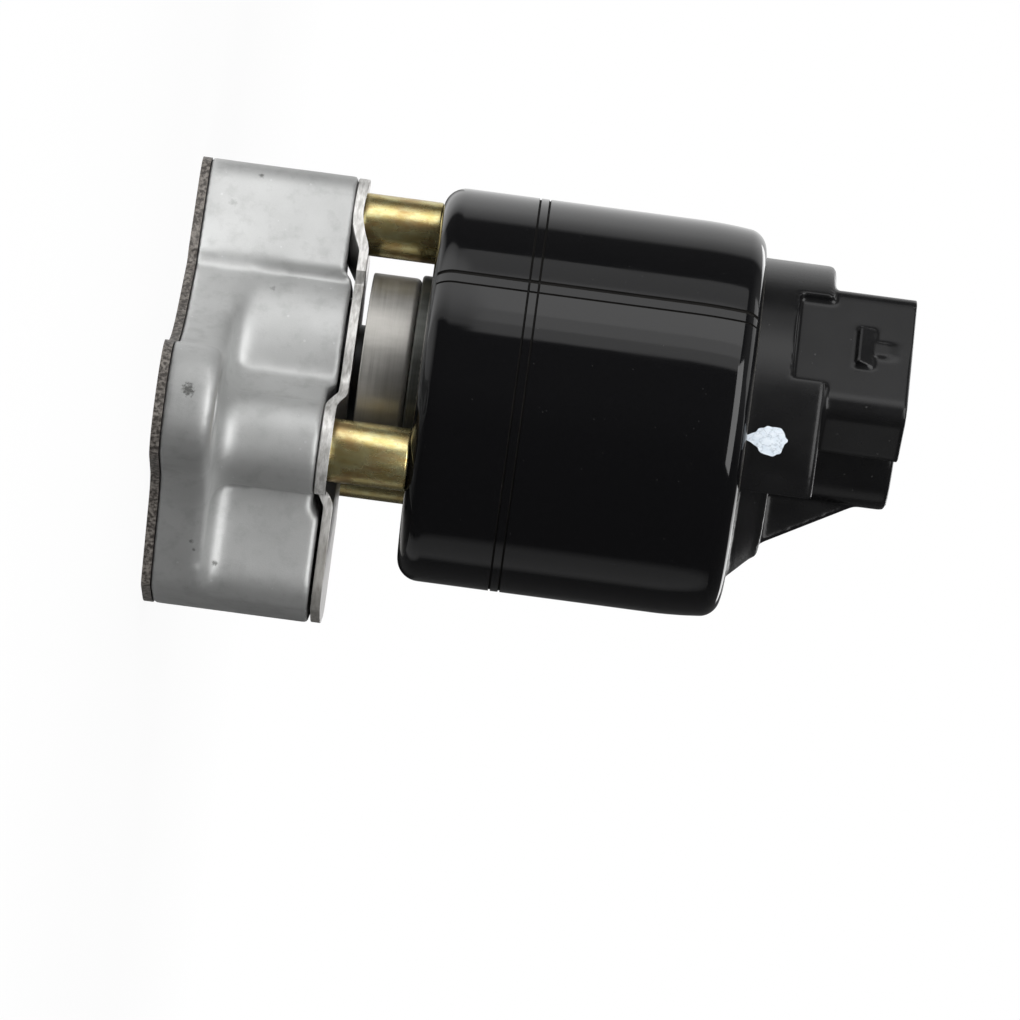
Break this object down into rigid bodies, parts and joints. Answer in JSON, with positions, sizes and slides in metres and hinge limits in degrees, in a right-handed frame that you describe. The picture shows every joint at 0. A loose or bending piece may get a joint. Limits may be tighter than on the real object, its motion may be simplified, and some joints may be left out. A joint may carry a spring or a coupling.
{
  "type": "egr valve",
  "caption": "Linear solenoid valve with a flanged gas base, standoffs, a round coil can and a position sensor cap; meters exhaust gas into an intake.",
  "frame": {"origin": "midway between the two mounting bolts, on the underside of the gasket", "axes": "+Z along the valve axis from the base to the sensor cap; X through the two mounting bolts; -Y towards the lobe with the front screw"},
  "size_m": [0.0892, 0.0607, 0.0974],
  "materials": {
    "gasket": "black graphite facing over steel, cut edges bare",
    "casting": "as cast, fine matte",
    "seat_steel": "ground",
    "bronze": "plain",
    "stainless": "plain",
    "plate_steel": "pressed, lightly scratched",
    "screw_steel": "zinc plated",
    "polished_steel": "polished",
    "dark_steel": "phosphated",
    "black_enamel": "gloss black",
    "pole_steel": "turned",
    "bobbin_plastic": "moulded",
    "copper": "enamelled wire",
    "spring_steel": "drawn wire",
    "cap_plastic": "satin moulded",
    "seal_rubber": "smooth",
    "guide_plastic": "natural moulded",
    "card_laminate": "laminate with printed track",
    "gold_steel": "yellow passivated steel",
    "tin": "tin plated"
  },
  "bodies": {
    "valve": {"mounting_gasket": "gasket", "valve_base": "casting", "valve_seat": "seat_steel", "stem_bush": "bronze", "gas_deflector": "stainless", "clamp_plate": "plate_steel", "base_screws": "screw_steel", "stem_shield": "polished_steel", "shield_collar": "dark_steel", "coil_housing": "black_enamel", "lower_pole": "pole_steel", "upper_pole": "pole_steel", "armature_sleeve": "stainless", "coil_bobbin": "bobbin_plastic", "coil_winding": "copper", "coil_leads": "copper", "return_spring": "spring_steel", "sensor_cap": "cap_plastic", "cap_seal": "seal_rubber", "sensor_guide": "guide_plastic", "sensor_card": "card_laminate", "sensor_spring": "spring_steel", "standoff_1": "gold_steel", "standoff_2": "gold_steel", "standoff_3": "gold_steel", "terminal_1": "tin", "terminal_2": "tin", "terminal_3": "tin", "terminal_4": "tin", "terminal_5": "tin"},
    "pintle_body": {"pintle": "stainless", "armature": "pole_steel", "armature_nut": "screw_steel"},
    "sensor_slider": {"sensor_plunger": "guide_plastic", "sensor_wiper": "bronze"}
  },
  "joints": [
    {"name": "pintle_lift", "type": "slide", "parent": "valve", "child": "pintle_body", "axis": [0, 0, 1], "range_m": [0, 0.0045], "stiffness_N_per_m": 2500, "springref_m": -0.004, "deforming": ["return_spring"]},
    {"name": "plunger_slide", "type": "slide", "parent": "valve", "child": "sensor_slider", "axis": [0, 0, 1], "range_m": [0, 0.0045], "stiffness_N_per_m": 150, "springref_m": -0.003, "deforming": ["sensor_spring"]}
  ],
  "couplings": [
    {"joint": "plunger_slide", "follows": "pintle_lift", "ratio": 1}
  ]
}
